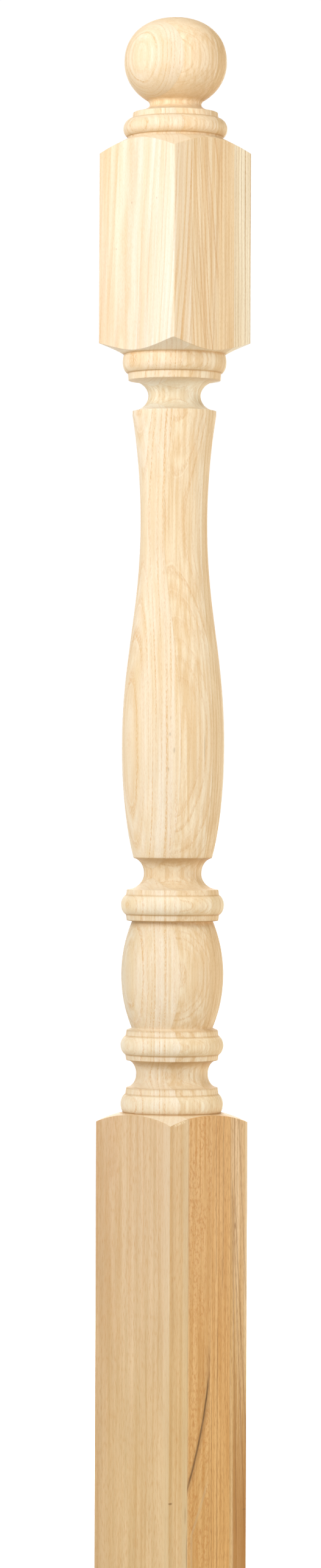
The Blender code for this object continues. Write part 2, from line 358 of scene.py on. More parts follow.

# Stretches with a tone, a painted shade or a painted highlight of their own: where each starts and ends,
# and how soft its ends are. The spans go up the post and the strips across a face.
# Where the painted shade under downward faces is mostly held back
LIT_SPAN = (914.0, 946.0, 3.0)
UPPER_HOLLOW_SPAN = (919.0, 941.0, 2.0)
BARREL_SPAN = (444.0, 531.0, 4.0)
# The beads, which are given a painted highlight
HIGHLIGHT_SPANS = ((384.0, 397.0, 1.0), (428.0, 441.5, 1.0), (535.0, 549.0, 1.0))
GLUE_STRIP = (-27.5, -21.6, 1.5)
ARRIS_STRIP = (33.0, 42.0, 4.0)
PAST_ARRIS_STRIP = (-42.0, -37.5, 2.0)
WARM_STRIP = (-36.0, 6.0, 5.0)
TORN_STRIP = (-36.5, -26.0, 1.5)
TORN_SLANT = 0.25

# Edges of the marks: a knot's soft rim and a dark line's, as shares of its size, the soft ends of a dark
# line, how far both kinds of line shiver, and how a corner's painted shade comes in above it
SPOT_RIM = (0.35, 1.0)
TRACE_CORE = 0.1
TRACE_RIM = 1.2
TRACE_ENDS = 7.0
TRACE_SHIVER = 1.2
STREAK_SHIVER = 0.8
CORNER_RISE = (-0.9, -0.1)
CORNER_CORE = 0.3

# Tones of single places and marks, and pairs of them for sanded and for planed wood
FLECK_TONE = paint(190, 128, 62)
BROWN_BAND_TONE = paint(166, 112, 50)
PALE_EDGE_TONE = paint(228, 202, 158)
GLUE_STRIP_TONE = paint(214, 194, 158)
ARRIS_TONES = (paint(240, 226, 202), paint(226, 202, 164))
PAST_ARRIS_TONE = paint(184, 146, 94)
GLUE_TONE = paint(150, 112, 70)
TRACE_TONES = (paint(196, 146, 90), paint(146, 98, 50))
BROWN_EDGES_TONE = paint(154, 104, 50)
DARK_CORE_TONE = paint(104, 74, 38)
GREY_BESIDE_TONE = paint(196, 172, 132)
SPOT_TONE = paint(140, 98, 52)
TORN_TONE = paint(244, 224, 184)

# Tints, by which a place's colour is multiplied
# Painted shade under downward-facing turned work
UNDERSIDE_SHADE_TINT = (0.84, 0.78, 0.68, 1.0)
# Painted shade under the upper square's dished underside
DISH_SHADE_TINT = (0.89, 0.90, 0.90, 1.0)
# Darker and warmer on the right-hand side of the barrel and of the ball
RIGHT_HAND_TINT = (0.96, 0.92, 0.86, 1.0)
UPPER_HOLLOW_TINT = (0.99, 1.10, 1.25, 1.0)
SHADED_TINT = (0.91, 0.93, 0.95, 1.0)
# Painted highlight on the beads
BEAD_HIGHLIGHT_TINT = (1.04, 1.08, 1.12, 1.0)
# Painted shade in the corners between the turned members
CORNER_SHADE_TINT = (0.76, 0.63, 0.46, 1.0)
FIRST_TOP_TINT = (0.95, 0.95, 0.955, 1.0)
SECOND_TOP_TINT = (1.02, 1.02, 1.04, 1.0)
THIRD_UPPER_TINT = (1.05, 1.05, 1.06, 1.0)
FRONT_TINT = (1.00, 1.03, 1.13, 1.0)
WARM_TINT = (0.99, 0.95, 0.89, 1.0)
OUTER_TINT = (0.93, 0.88, 0.84, 1.0)
LOWER_SQUARE_TINT = (1.03, 1.05, 1.13, 1.0)
FOOT_TINT = (1.04, 1.03, 0.95, 1.0)
LOW_LEFT_TINT = (0.93, 0.93, 0.93, 1.0)
RIGHT_FOOT_TINT = (0.97, 0.92, 0.80, 1.0)


class Value:
    """A number, colour or vector inside a node tree. Arithmetic on values adds Math nodes."""

    def __init__(self, bench, socket):
        self.bench = bench
        self.socket = socket

    def output(self, name):
        """Another output of the same node."""
        return Value(self.bench, pick(self.socket.node.outputs, name))

    def maths(self, operation, *others):
        settings = {"operation": operation}
        return self.bench.node("ShaderNodeMath", settings, dict(enumerate((self, *others))))

    def __add__(self, other):
        return self.maths("ADD", other)

    __radd__ = __add__

    def __sub__(self, other):
        return self.maths("SUBTRACT", other)

    def __rsub__(self, other):
        return self.bench.node("ShaderNodeMath", {"operation": "SUBTRACT"}, {0: other, 1: self})

    def __mul__(self, other):
        return self.maths("MULTIPLY", other)

    __rmul__ = __mul__

    def __truediv__(self, other):
        return self.maths("DIVIDE", other)

    def __neg__(self):
        return self * -1.0

    def __abs__(self):
        return self.maths("ABSOLUTE")

    def __pow__(self, power):
        return self.maths("POWER", power)

    def __mod__(self, other):
        return self.maths("FLOORED_MODULO", other)

    def __gt__(self, other):
        return self.maths("GREATER_THAN", other)

    def __lt__(self, other):
        return self.maths("LESS_THAN", other)


def pick(sockets, key):
    """A socket by its place, or the one in use that has this name."""
    if isinstance(key, int):
        return sockets[key]
    return next(socket for socket in sockets if socket.enabled and key == socket.name)


class Bench:
    """A node tree being built."""

    def __init__(self, tree):
        self.tree = tree

    def node(self, kind, settings=None, values=None, output=0):
        """Add a node, with its settings first and then the values or links of its inputs."""
        node = self.tree.nodes.new(kind)
        for name, setting in (settings or {}).items():
            setattr(node, name, setting)
        for key, value in (values or {}).items():
            socket = pick(node.inputs, key)
            if isinstance(value, Value):
                self.tree.links.new(value.socket, socket)
            else:
                socket.default_value = value
        return None if output is None else Value(self, pick(node.outputs, output))

    def vector(self, x, y, z):
        return self.node("ShaderNodeCombineXYZ", values={0: x, 1: y, 2: z})

    def parts(self, vector):
        """The three parts of a vector."""
        split = self.node("ShaderNodeSeparateXYZ", values={0: vector})
        return split, split.output("Y"), split.output("Z")

    def length(self, x, y):
        return (x * x + y * y) ** 0.5

    def uneven(self, grain, *place):
        """Unevenness from 0 to 1 at this place, with grains of the given sizes."""
        moved = [part / size + shift for part, size, shift in zip(place, grain.sizes, grain.shift)]
        values = {"Vector": self.vector(*moved), "Scale": 1.0, "Detail": grain.detail,
                  "Roughness": grain.roughness}
        return self.node("ShaderNodeTexNoise", {"noise_dimensions": "3D"}, values)

    def between(self, value, low, high):
        """0 below low, 1 above high and a smooth step from one to the other."""
        settings = {"interpolation_type": "SMOOTHSTEP", "clamp": True}
        values = {"Value": value, "From Min": low, "From Max": high}
        return self.node("ShaderNodeMapRange", settings, values)

    def blend(self, share, first, second, kind="MIX"):
        """A colour between two colours."""
        settings = {"data_type": "RGBA", "blend_type": kind, "clamp_factor": True}
        values = {"Factor": share, "A": first, "B": second}
        return self.node("ShaderNodeMix", settings, values, output="Result")

    def lay(self, colour, coats, kind="MIX"):
        """The colour under several others, each laid over it by its own share."""
        for share, tone in coats:
            colour = self.blend(share, colour, tone, kind)
        return colour


# The outline of the turning

def quarter(far_height, far_radius, middle, middle_radius, sweep, steps):
    """Arc of an ellipse from a member's edge to its crest or waist, the latter left out."""
    height = (far_height - middle) / math.sin(sweep)
    depth = (far_radius - middle_radius) / (1.0 - math.cos(sweep))
    points = []
    for step in range(steps):
        angle = sweep * (1.0 - step / steps)
        rise = height * math.sin(angle)
        points.append((middle + rise, middle_radius + depth * (1.0 - math.cos(angle))))
    return points


def curved_member(member, middle, sweep, steps):
    """Both arcs of a bead or a hollow, from its top edge to its bottom edge."""
    upper = quarter(member.top, member.top_radius, middle, member.radius, sweep, steps)
    lower = quarter(member.bottom, member.bottom_radius, middle, member.radius, sweep, steps)
    return upper + [(middle, member.radius)] + lower[::-1]


def bead(member, steps=8):
    return curved_member(member, member.crest, BEAD_SWEEP, steps)


def hollow(member, steps=11):
    return curved_member(member, member.waist, HOLLOW_SWEEP, steps)


def band(member):
    """A plain, nearly straight fillet."""
    return [(member.top, member.top_radius), (member.bottom, member.bottom_radius)]


def ball(steps_above=30, steps_below=18):
    """The ball, from its slightly flattened crown to where the neck leaves it."""
    points = []
    rise = POST_HEIGHT - BALL_EQUATOR
    for step in range(steps_above):
        angle = math.pi / 2 * step / steps_above
        across = math.sin(angle) ** (2.0 / BALL_CROWN_POWER)
        up = math.cos(angle) ** (2.0 / BALL_CROWN_POWER)
        points.append((BALL_EQUATOR + rise * up, BALL_RADIUS * across))
    last_angle = math.asin((BALL_EQUATOR - BALL_BOTTOM) / BALL_UNDERSIDE)
    for step in range(steps_below + 1):
        angle = last_angle * step / steps_below
        fall = BALL_UNDERSIDE * math.sin(angle)
        points.append((BALL_EQUATOR - fall, BALL_RADIUS * math.cos(angle)))
    return points


def vase(steps_above=24, steps_middle=40, steps_below=22):
    """Flared lip, slim neck, full belly and rounded foot, as one flowing line."""
    points = []
    flare = VASE_LIP.bottom_radius - VASE_NECK_RADIUS
    for step in range(steps_above):
        share = 1.0 - step / steps_above
        height = VASE_NECK + (VASE_LIP.bottom - VASE_NECK) * share
        points.append((height, VASE_NECK_RADIUS + flare * share ** 2))
    swell = VASE_BELLY_RADIUS - VASE_NECK_RADIUS
    drop = VASE_NECK - VASE_BELLY
    for step in range(steps_middle):
        share = step / steps_middle
        back = 1.0 - share
        near_belly = 3 * back * share ** 2
        fall = 3 * back ** 2 * share * VASE_FLOW + near_belly * (1.0 - VASE_FLOW) + share ** 3
        points.append((VASE_NECK - drop * fall, VASE_NECK_RADIUS + swell * (near_belly + share ** 3)))
    points.append((VASE_BELLY, VASE_BELLY_RADIUS))
    foot = quarter(VASE_FOOT, VASE_FOOT_RADIUS, VASE_BELLY, VASE_BELLY_RADIUS,
                   VASE_FOOT_SWEEP, steps_below)
    return [(VASE_LIP.top, VASE_LIP.top_radius)] + points + foot[::-1]


def barrel(steps=26):
    """A round-sided barrel, one arc from end to end."""
    bulge = BARREL_RADIUS - BARREL_END_RADIUS
    arc_radius = (BARREL_HALF_LENGTH ** 2 + bulge ** 2) / (2 * bulge)
    half_angle = math.asin(BARREL_HALF_LENGTH / arc_radius)
    points = []
    for step in range(steps + 1):
        angle = half_angle * (1 - 2 * step / steps)
        inset = arc_radius * (1.0 - math.cos(angle))
        points.append((BARREL_MIDDLE + arc_radius * math.sin(angle), BARREL_RADIUS - inset))
    return points


def without_repeats(outline, closest=0.05):
    """Leave out a point that another member has already placed."""
    kept = [outline[0]]
    for point in outline[1:]:
        if math.dist(point, kept[-1]) > closest:
            kept.append(point)
    return kept


def sanded(outline):
    """The outline with its crisp corners worn to small arcs."""
    corners = [Vector(point) for point in without_repeats(outline)]
    result = [corners[0]]
    for before, corner, after in zip(corners, corners[1:], corners[2:]):
        back = before - corner
        ahead = after - corner
        if math.pi - back.angle(ahead) < CRISP_TURN:
            result.append(corner)
            continue
        reach = min(SANDED_RADIUS, 0.45 * back.length, 0.45 * ahead.length)
        start = corner + back.normalized() * reach
        end = corner + ahead.normalized() * reach
        for step in range(SANDED_STEPS + 1):
            share = step / SANDED_STEPS
            result.append(start.lerp(corner, share).lerp(corner.lerp(end, share), share))
    return result + [corners[-1]]


def turned_rows(outline):
    return [Row(radius, height) for height, radius in sanded(outline)]


def shoulder_rows(shoulder, name, steps=9, outwards=True):
    """Rows over one shoulder, between its bead and the face of the square."""
    shares = [step / steps for step in range(1, steps + 1)]
    rows = [Row(shoulder.radius, 0.0, share, **{name: 1.0}) for share in shares]
    return rows if outwards else rows[::-1]


def face_rows(above, below=None, steps=16):
    """Rows down the faces of a square, from the shoulder above to the one below or to the ground."""
    rows = []
    for step in range(1, steps):
        share = step / steps
        weights = {above: 1.0 - share}
        if below:
            weights[below] = share
        rows.append(Row(0.0, 0.0, 1.0, **weights))
    return rows


def underside_rows(steps=8):
    """Rows across the flat underside, from the edge of the square in to the axis."""
    return [Row(0.0, 0.0, 1.0 - step / steps) for step in range(steps + 1)]


def surface_rows():
    """All rows, from the crown of the ball down and in under the foot."""
    top = ball() + curved_member(NECK, NECK.waist, NECK_SWEEP, 7)
    top += band(NECK_FILLET) + bead(BALL_BEAD) + band(BALL_FILLET)
    top += [(UPPER_SHOULDER.height, UPPER_SHOULDER.radius)]
    middle = bead(VASE_BEAD) + band(VASE_FILLET) + hollow(VASE_HOLLOW) + vase()
    middle += hollow(FOOT_HOLLOW) + band(BARREL_TOP_FILLET)
    middle += bead(BARREL_TOP_BEAD) + band(BARREL_TOP_BAND) + barrel()
    middle += band(BARREL_FOOT_BAND) + bead(BARREL_FOOT_BEAD) + band(BARREL_FOOT_FILLET)
    middle += hollow(BASE_HOLLOW, 8) + band(BASE_FILLET) + bead(BASE_BEAD)
    rows = turned_rows(top) + shoulder_rows(UPPER_SHOULDER, "upper")
    rows += face_rows("upper", "dished")
    rows += shoulder_rows(DISHED_SHOULDER, "dished", outwards=False)
    rows += turned_rows(middle) + shoulder_rows(CROWNED_SHOULDER, "crowned")
    rows += face_rows("crowned", steps=24) + underside_rows()
    return rows


def outline_object(rows):
    """The rows as a chain of points, with what they reach for kept beside each."""
    points = [(row.radius * MM, 0.0, row.height * MM) for row in rows]
    edges = [(index, index + 1) for index in range(len(rows) - 1)]
    mesh = bpy.data.meshes.new("turned_newel_post")
    mesh.from_pydata(points, edges, [])
    for name in ("reach", *SHOULDERS):
        layer = mesh.attributes.new(name, "FLOAT", "POINT")
        layer.data.foreach_set("value", [getattr(row, name) for row in rows])
    post = bpy.data.objects.new("turned_newel_post", mesh)
    bpy.context.scene.collection.objects.link(post)
    return post


# The lathe: a Geometry Nodes tree that carries the rows round the post

INT, FLOAT = "NodeSocketInt", "NodeSocketFloat"


def lathe_inputs():
    """Names, kinds and values of the tree's inputs, in metres."""
    inputs = [
        ("Square width", FLOAT, SQUARE_WIDTH * MM),
        ("Arris radius", FLOAT, ARRIS_RADIUS * MM),
        ("Arris steps", INT, ARRIS_STEPS),
        ("Face strips", INT, FACE_STRIPS),
        ("Sharp angle", FLOAT, SHARP_ANGLE),
    ]
    scales = {"height": MM, "radius": MM, "slope": 1.0, "curve": 1 / MM}
    for name, shoulder in SHOULDERS.items():
        for part, scale in scales.items():
            value = getattr(shoulder, part) * scale
            inputs.append((name.capitalize() + " shoulder " + part, FLOAT, value))
    return inputs


def give_sockets(tree):
    """Give the tree its inputs and its output, and return the inputs' identifiers by name."""
    face = tree.interface
    face.new_socket(name="Rows", in_out="INPUT", socket_type="NodeSocketGeometry")
    face.new_socket(name="Post", in_out="OUTPUT", socket_type="NodeSocketGeometry")
    identifiers = {}
    for name, kind, value in lathe_inputs():
        socket = face.new_socket(name=name, in_out="INPUT", socket_type=kind)
        socket.default_value = value
        identifiers[name] = socket.identifier
    socket = face.new_socket(name="Wood", in_out="INPUT", socket_type="NodeSocketMaterial")
    identifiers["Wood"] = socket.identifier
    return identifiers


def make_lathe():
    """The tree, and the identifiers of its inputs by name."""
    tree = bpy.data.node_groups.new("post lathe", "GeometryNodeTree")
    identifiers = give_sockets(tree)
    bench = Bench(tree)
    given = bench.node("NodeGroupInput")
    rows = given.output("Rows")
    section = blank_section(bench, given)
    columns = size_of(bench, section, "CURVE")
    count = size_of(bench, rows, "MESH")
    sheet = bench.node("GeometryNodeMeshGrid", None, {"Vertices X": columns + 1, "Vertices Y": count})
    index = bench.node("GeometryNodeInputIndex")
    row = index % count
    column = (index / count).maths("FLOOR") % columns
    position = bench.node("GeometryNodeInputPosition")
    edge = sample(bench, section, position, column, "FLOAT_VECTOR")
    place = sample(bench, rows, position, row, "FLOAT_VECTOR")
    limit = bench.node("ShaderNodeVectorMath", {"operation": "LENGTH"}, {0: edge}, output="Value")
    own_radius, _, height = bench.parts(place)
    reach = sample(bench, rows, named(bench, "reach"), row, "FLOAT")
    radius = own_radius + reach * (limit - own_radius)
    for name in SHOULDERS:
        share = sample(bench, rows, named(bench, name), row, "FLOAT")
        height = height + share * shoulder_height(given, name.capitalize(), radius)
    edge_x, edge_y, _ = bench.parts(edge)
    turned = bench.vector(edge_x / limit * radius, edge_y / limit * radius, height)
    post = bench.node("GeometryNodeSetPosition", None, {"Geometry": sheet, "Position": turned})
    post = bench.node("GeometryNodeMergeByDistance", None, {"Geometry": post, "Distance": MERGED * MM})
    post = bench.node("GeometryNodeFlipFaces", None, {"Mesh": post})
    post = with_crisp_edges(bench, post, given.output("Sharp angle"))
    post = bench.node("GeometryNodeRealizeInstances", None, {"Geometry": post})
    post = bench.node("GeometryNodeSetMaterial", None, {"Geometry": post, "Material": given.output("Wood")})
    bench.node("NodeGroupOutput", None, {"Post": post}, output=None)
    return tree, identifiers


def blank_section(bench, given):
    """The square of the blank with its eased corners, as a closed curve."""
    width = given.output("Square width")
    steps = given.output("Arris steps")
    square = bench.node("GeometryNodeCurvePrimitiveQuadrilateral", None, {"Width": width, "Height": width})
    values = {"Curve": square, "Count": steps, "Radius": given.output("Arris radius")}
    eased = bench.node("GeometryNodeFilletCurve", {"mode": "POLY"}, values)
    ends_corner = abs(bench.node("GeometryNodeInputIndex") % (steps + 1) - steps) < 0.5
    cuts = ends_corner * (given.output("Face strips") - 1)
    return bench.node("GeometryNodeSubdivideCurve", None, {"Curve": eased, "Cuts": cuts})


def size_of(bench, geometry, component):
    """The number of points in a curve or a mesh."""
    return bench.node("GeometryNodeAttributeDomainSize", {"component": component}, {"Geometry": geometry})


def named(bench, name):
    """A number kept beside each point."""
    return bench.node("GeometryNodeInputNamedAttribute", {"data_type": "FLOAT"}, {"Name": name})


def sample(bench, geometry, value, index, kind):
    """A value read at one point of another geometry."""
    values = {"Geometry": geometry, "Value": value, "Index": index}
    return bench.node("GeometryNodeSampleIndex", {"data_type": kind, "domain": "POINT"}, values)


def shoulder_height(given, name, radius):
    """Height of a shoulder at this distance from the axis."""
    title = name + " shoulder "
    out = radius - given.output(title + "radius")
    rise = out * given.output(title + "slope") + out * out * given.output(title + "curve")
    return given.output(title + "height") + rise


def with_crisp_edges(bench, post, angle):
    """Shade smooth, apart from the edges where the surface turns sharply."""
    values = {"Geometry": post, "Shade Smooth": True}
    post = bench.node("GeometryNodeSetShadeSmooth", {"domain": "FACE"}, values)
    turn = bench.node("GeometryNodeInputMeshEdgeAngle")
    values = {"Geometry": post, "Selection": turn > angle, "Shade Smooth": False}
    return bench.node("GeometryNodeSetShadeSmooth", {"domain": "EDGE"}, values)


def turn_post(wood):
    """The post as one plain mesh, turned by the tree."""
    post = outline_object(surface_rows())
    tree, identifiers = make_lathe()
    lathe = post.modifiers.new("lathe", "NODES")
    lathe.node_group = tree
    for name, _, value in lathe_inputs():
        lathe[identifiers[name]] = value
    lathe[identifiers["Wood"]] = wood
    graph = bpy.context.evaluated_depsgraph_get()
    mesh = bpy.data.meshes.new_from_object(post.evaluated_get(graph))
    mesh.name = "turned_newel_post"
    post.modifiers.clear()
    post.data = mesh
    return post


# The wood, solid through the post and read at each place of its surface

class Wood:
    """A place in the wood, in millimetres, and what its looks depend on there."""

    def __init__(self, bench):
        place = bench.node("ShaderNodeTexCoord", output="Object")
        place = bench.node("ShaderNodeVectorMath", {"operation": "SCALE"}, {0: place, "Scale": 1 / MM})
        self.bench = bench
        self.x, self.y, self.height = bench.parts(place)
        self.find_board()
        self.find_surface()
        self.find_growth()

    def find_board(self):
        """Which board this is, and how close it is to a glue line."""
        self.beyond = []
        near = []
        for line in GLUE_LINES:
            past = self.y - self.height * line.lean - line.place
            self.beyond.append(past > 0.0)
            near.append(1.0 - self.bench.between(abs(past), *GLUE_EDGE))
        self.seam = strongest(near)
        past_first, past_second, past_third = self.beyond
        self.board = past_first + past_second + past_third
        self.first = 1.0 - past_first
        self.second = past_first - past_second
        self.third = past_second - past_third
        self.fourth = past_third
        self.z = self.height + self.board * BOARD_SHIFT

    def find_surface(self):
        """Whether this is turned work or a square's face, sanded above and planed below."""
        bench = self.bench
        self.turned = 1.0 - bench.between(bench.length(self.x, self.y), *TURNED_EDGE)
        outermost = abs(self.x).maths("MAXIMUM", abs(self.y))
        self.squared = bench.between(outermost, *SQUARE_EDGE)
        self.planed = self.squared * (1.0 - bench.between(self.height, *PLANED_EDGE))
        self.sanded = self.squared * (1.0 - self.planed)
        _, _, self.upward = bench.parts(bench.node("ShaderNodeNewGeometry", output="Normal"))
        self.end_grain = bench.between(abs(self.upward), *END_GRAIN_EDGE)

    def find_growth(self):
        """Distance and direction from the tree's heart, the growth ring there, and the finer grain."""
        bench = self.bench
        self.sweep = streak_sweep(self.height)
        self.aside = self.y + self.sweep * self.second
        wander, across, quiver = [bench.uneven(grain, self.x, self.aside, self.z)
                                  for grain in (WANDER, WANDER_ACROSS, QUIVER)]
        lean = (self.height - LEAN_STARTS).maths("MAXIMUM", 0.0) * self.of_boards("lean")
        out_x = self.x - self.of_boards("heart_x") - lean + (wander - 0.5) * WANDER_REACH
        out_y = self.aside - self.of_boards("heart_y") + (across - 0.5) * WANDER_REACH
        self.distance = bench.length(out_x, out_y) + (quiver - 0.5) * QUIVER_REACH
        self.turn = out_y.maths("ARCTAN2", out_x)
        spacing = bench.uneven(RING_SPACING, self.distance, self.board * SPACING_SHIFT, 0.0)
        self.ring = self.distance / self.of_boards("ring") + spacing * RING_SPACING_REACH
        self.layers = bench.uneven(FINER_LAYERS, self.distance, self.turn, self.z)
        self.fibres = bench.uneven(FIBRES, self.x, self.y, self.z)
        pore_length = PORE_LENGTH + self.planed * PLANED_PORES_LONGER
        self.fine = bench.uneven(FINE_PORES, self.x, self.aside, self.z / pore_length)

    def of_boards(self, field):
        """A number that each board has for itself."""
        numbers = [getattr(board, field) for board in BOARDS]
        total = numbers[0]
        for mask, number, last in zip(self.beyond, numbers[1:], numbers):
            total = total + mask * (number - last)
        return total

    def tone(self, field):
        """A colour that each board has for itself, sanded or planed."""
        colours = []
        for tones in (FRESH_TONES, PLANED_TONES):
            colour = getattr(tones[0], field)
            for mask, tone in zip(self.beyond, tones[1:]):
                colour = self.bench.blend(mask, colour, getattr(tone, field))
            colours.append(colour)
        return self.bench.blend(self.planed, *colours)


def strongest(masks):
    """The largest of several values at each place."""
    return reduce(lambda first, second: first.maths("MAXIMUM", second), masks)


def window(bench, value, low, high, soft):
    """1 from low to high, with soft ends."""
    rise = bench.between(value, low - soft, low + soft)
    return rise * (1.0 - bench.between(value, high - soft, high + soft))


def streak_sweep(height):
    """How far the fibres round the mineral streak have swept aside at this height."""
    below = ((STREAK_TOP - height.maths("MAXIMUM", STREAK_FOOT)) / STREAK_FALL).maths("MAXIMUM", 0.0)
    return below ** STREAK_BEND * STREAK_SWEEP


def growth_rings(bench, wood):
    """Rows of early pores that come and go along the post, and the late wood before each row."""
    share = wood.ring % 1.0
    number = wood.ring - share
    strength = bench.uneven(RING_STRENGTH, number * RING_SHIFT, wood.z, wood.turn)
    strength = bench.between(strength, *LAYER_RANGE)
    early = bench.between(share, *EARLY_RISE) * (1.0 - bench.between(share, *EARLY_FALL))
    late = bench.between(share, *LATE_RISE) * (1.0 - bench.between(share, *LATE_FALL))
    dots = bench.between(wood.fibres, *DOT_RANGE)
    even = 0.20 + wood.squared * 0.40
    row = early * (even + dots * (1.0 - even)) * (0.30 + strength * 0.70)
    return row, late * strength


def ring_contrast(wood):
    """How strongly the rings show: by board, by part of the post and less on end grain."""
    calm = 1.0 - (wood.y < -FACE_WITH_ARRIS) * 0.45
    shown = wood.of_boards("turned")
    shown = shown + wood.squared * (wood.of_boards("upper") * calm - shown)
    shown = shown + wood.planed * (wood.of_boards("lower") - shown)
    return shown * (1.0 - wood.end_grain * 0.35)


def grown_colour(bench, wood, row, late, pores):
    """Layers of growth from pale to deep, under the rings and the pores between them."""
    broad = bench.uneven(BROAD_LAYERS, wood.distance, wood.turn, wood.z)
    upright = bench.uneven(UPRIGHT_STREAKS, wood.x, wood.y, wood.z)
    layers = broad * 0.5 + wood.layers * 0.5
    layers = upright + wood.of_boards("follow") * (layers - upright)
    layers = bench.between(layers, *LAYER_RANGE)
    layers = layers + wood.end_grain * (0.5 - layers) * 0.65
    line = wood.tone("line")
    rings = (row + late * 0.30) * ring_contrast(wood)
    pore_share = wood.of_boards("pores") * (0.32 + wood.planed * 0.40 - wood.end_grain * 0.14)
    colour = bench.blend(layers, wood.tone("pale"), wood.tone("deep"))
    return bench.lay(colour, [(rings, line), (pores * pore_share, line)])


def ray_flecks(bench, wood):
    """Ray flecks of the second board, on the planed face of the lower square."""
    flecks = bench.uneven(RAY_FLECKS, wood.y, wood.x, wood.height)
    patches = bench.uneven(FLECK_PATCHES, wood.y, wood.x, wood.height)
    shown = bench.between(flecks, *FLECK_RANGE) * bench.between(patches, *PATCH_RANGE)
    return [(shown * wood.second * wood.planed * 0.55, FLECK_TONE)]


def foot_bands(bench, wood):
    """The wide brown band of the fourth board's foot, and the pale outer edge above it."""
    board = wood.fourth * wood.planed
    low = 1.0 - bench.between(wood.height, *BROWN_BAND_FADE)
    inner_edge = bench.between(wood.y + wood.layers * BROWN_BAND_WAVER, *BROWN_BAND_EDGE)
    brown = board * low * bench.between(wood.x, *BROWN_BAND_FRONT) * inner_edge
    outer_edge = bench.between(wood.y + wood.layers * PALE_EDGE_WAVER, *PALE_EDGE)
    pale = board * outer_edge * bench.between(wood.height, *PALE_EDGE_FADE)
    return [(brown * (0.35 + wood.layers * 0.80), BROWN_BAND_TONE), (pale * 0.60, PALE_EDGE_TONE)]


def pale_strips(bench, wood):
    """Pale strips beside the first glue line and before the front arris, and a darker one past it."""
    strip = window(bench, wood.y, *GLUE_STRIP) * wood.planed * (wood.x > NEAR_SIDE)
    before = window(bench, wood.x, *ARRIS_STRIP) * (1.0 - bench.between(wood.y, *ARRIS_EDGE))
    beyond = window(bench, wood.y, *PAST_ARRIS_STRIP) * (wood.x > FACE_ALONE) * wood.planed
    return [
        (strip * (0.20 + wood.layers * 0.50), GLUE_STRIP_TONE),
        (before * (0.15 + wood.planed * 0.25), bench.blend(wood.planed, *ARRIS_TONES)),
        (beyond * 0.30, PAST_ARRIS_TONE),
    ]


def turned_tints(bench, wood):
    """Tints of the turned work, each with its share: painted shade facing down and in the corners, a darker
    right-hand side, the upper hollow, the barrel's shaded side and a painted highlight on the beads.
    """
    barrel_height = window(bench, wood.height, *BARREL_SPAN)
    lit = window(bench, wood.height, *LIT_SPAN) * 0.85
    right_side = bench.between(wood.y, *RIGHT_HAND_SIDE) * (wood.x > 0.0)
    neck_up = bench.between(wood.height, *NECK_FADE)
    bead_highlight = sum(window(bench, wood.height, *span) for span in HIGHLIGHT_SPANS)
    return [
        (bench.between(-wood.upward, *UNDERCUT_FACING) * wood.turned * (1.0 - lit), UNDERSIDE_SHADE_TINT),
        ((barrel_height + neck_up) * wood.turned * right_side, RIGHT_HAND_TINT),
        (window(bench, wood.height, *UPPER_HOLLOW_SPAN) * wood.turned, UPPER_HOLLOW_TINT),
        (barrel_height * bench.between(-wood.x, *SHADED_SIDE), SHADED_TINT),
        (bead_highlight * wood.turned, BEAD_HIGHLIGHT_TINT),
        (corner_shade(bench, wood.height) * wood.turned, CORNER_SHADE_TINT),
    ]


def square_tints(bench, wood):
    """Tints of single boards and faces, each with its share, painted shade under the upper square's dished
    underside, and tints of the foot, which has darkened.
    """
    low = 1.0 - bench.between(wood.height, *FOOT_FADE)
    above_square = bench.between(wood.height, *TOP_FADE)
    right_foot = (wood.x > FACE_ALONE) * wood.planed * bench.between(wood.height, *RIGHT_FOOT_FADE)
    dish_shade = bench.between(-wood.upward, *DISH_FACING) * bench.between(wood.height, *DISH_FADE)
    front = (wood.y < -FACE_ALONE) * wood.sanded * bench.between(wood.x, *FRONT_SIDE)
    warm = window(bench, wood.y, *WARM_STRIP) * (wood.x > FACE_WITH_ARRIS) * wood.sanded
    return [
        (wood.first * right_foot, RIGHT_FOOT_TINT),
        (dish_shade * (1.0 - wood.turned), DISH_SHADE_TINT),
        (wood.first * above_square, FIRST_TOP_TINT),
        (wood.second * above_square, SECOND_TOP_TINT),
        (wood.third * wood.sanded, THIRD_UPPER_TINT),
        (wood.planed, bench.blend(low, LOWER_SQUARE_TINT, FOOT_TINT)),
        (bench.between(-wood.x, *OUTER_SIDE) * wood.squared, OUTER_TINT),
        (front, FRONT_TINT),
        (bench.between(-wood.x, *LOW_LEFT_SIDE) * wood.planed * low, LOW_LEFT_TINT),
        (warm, WARM_TINT),
    ]


def corner_shade(bench, height):
    """Painted shade in the corners between the turned members, each fading downwards."""
    masks = []
    for corner in SHADED_CORNERS:
        below = corner.height - height
        fade = 1.0 - bench.between(below, CORNER_CORE, corner.fade)
        masks.append(bench.between(below, *CORNER_RISE) * fade * corner.strength)
    return strongest(masks)


def spot_marks(bench, wood):
    """Pin knots and short dashes, as small upright ellipsoids in the wood."""
    masks = []
    for spot in SPOTS:
        across = bench.length(wood.x - spot.x, wood.y - spot.y) / spot.wide
        reach = bench.length(across, (wood.height - spot.z) / spot.high)
        masks.append((1.0 - bench.between(reach, *SPOT_RIM)) * spot.strength)
    return strongest(masks)


def dark_traces(bench, wood, shiver):
    """Dark lines that run down the right-hand face, some of them leaning."""
    masks = []
    for trace in TRACES:
        middle = trace.y + (trace.top - wood.height) * trace.lean
        off = abs(wood.y - middle + shiver * TRACE_SHIVER)
        mask = 1.0 - bench.between(off, trace.wide * TRACE_CORE, trace.wide * TRACE_RIM)
        length = window(bench, wood.height, trace.bottom, trace.top, TRACE_ENDS)
        masks.append(mask * length * trace.strength)
    return strongest(masks) * (wood.x > NEAR_SIDE)


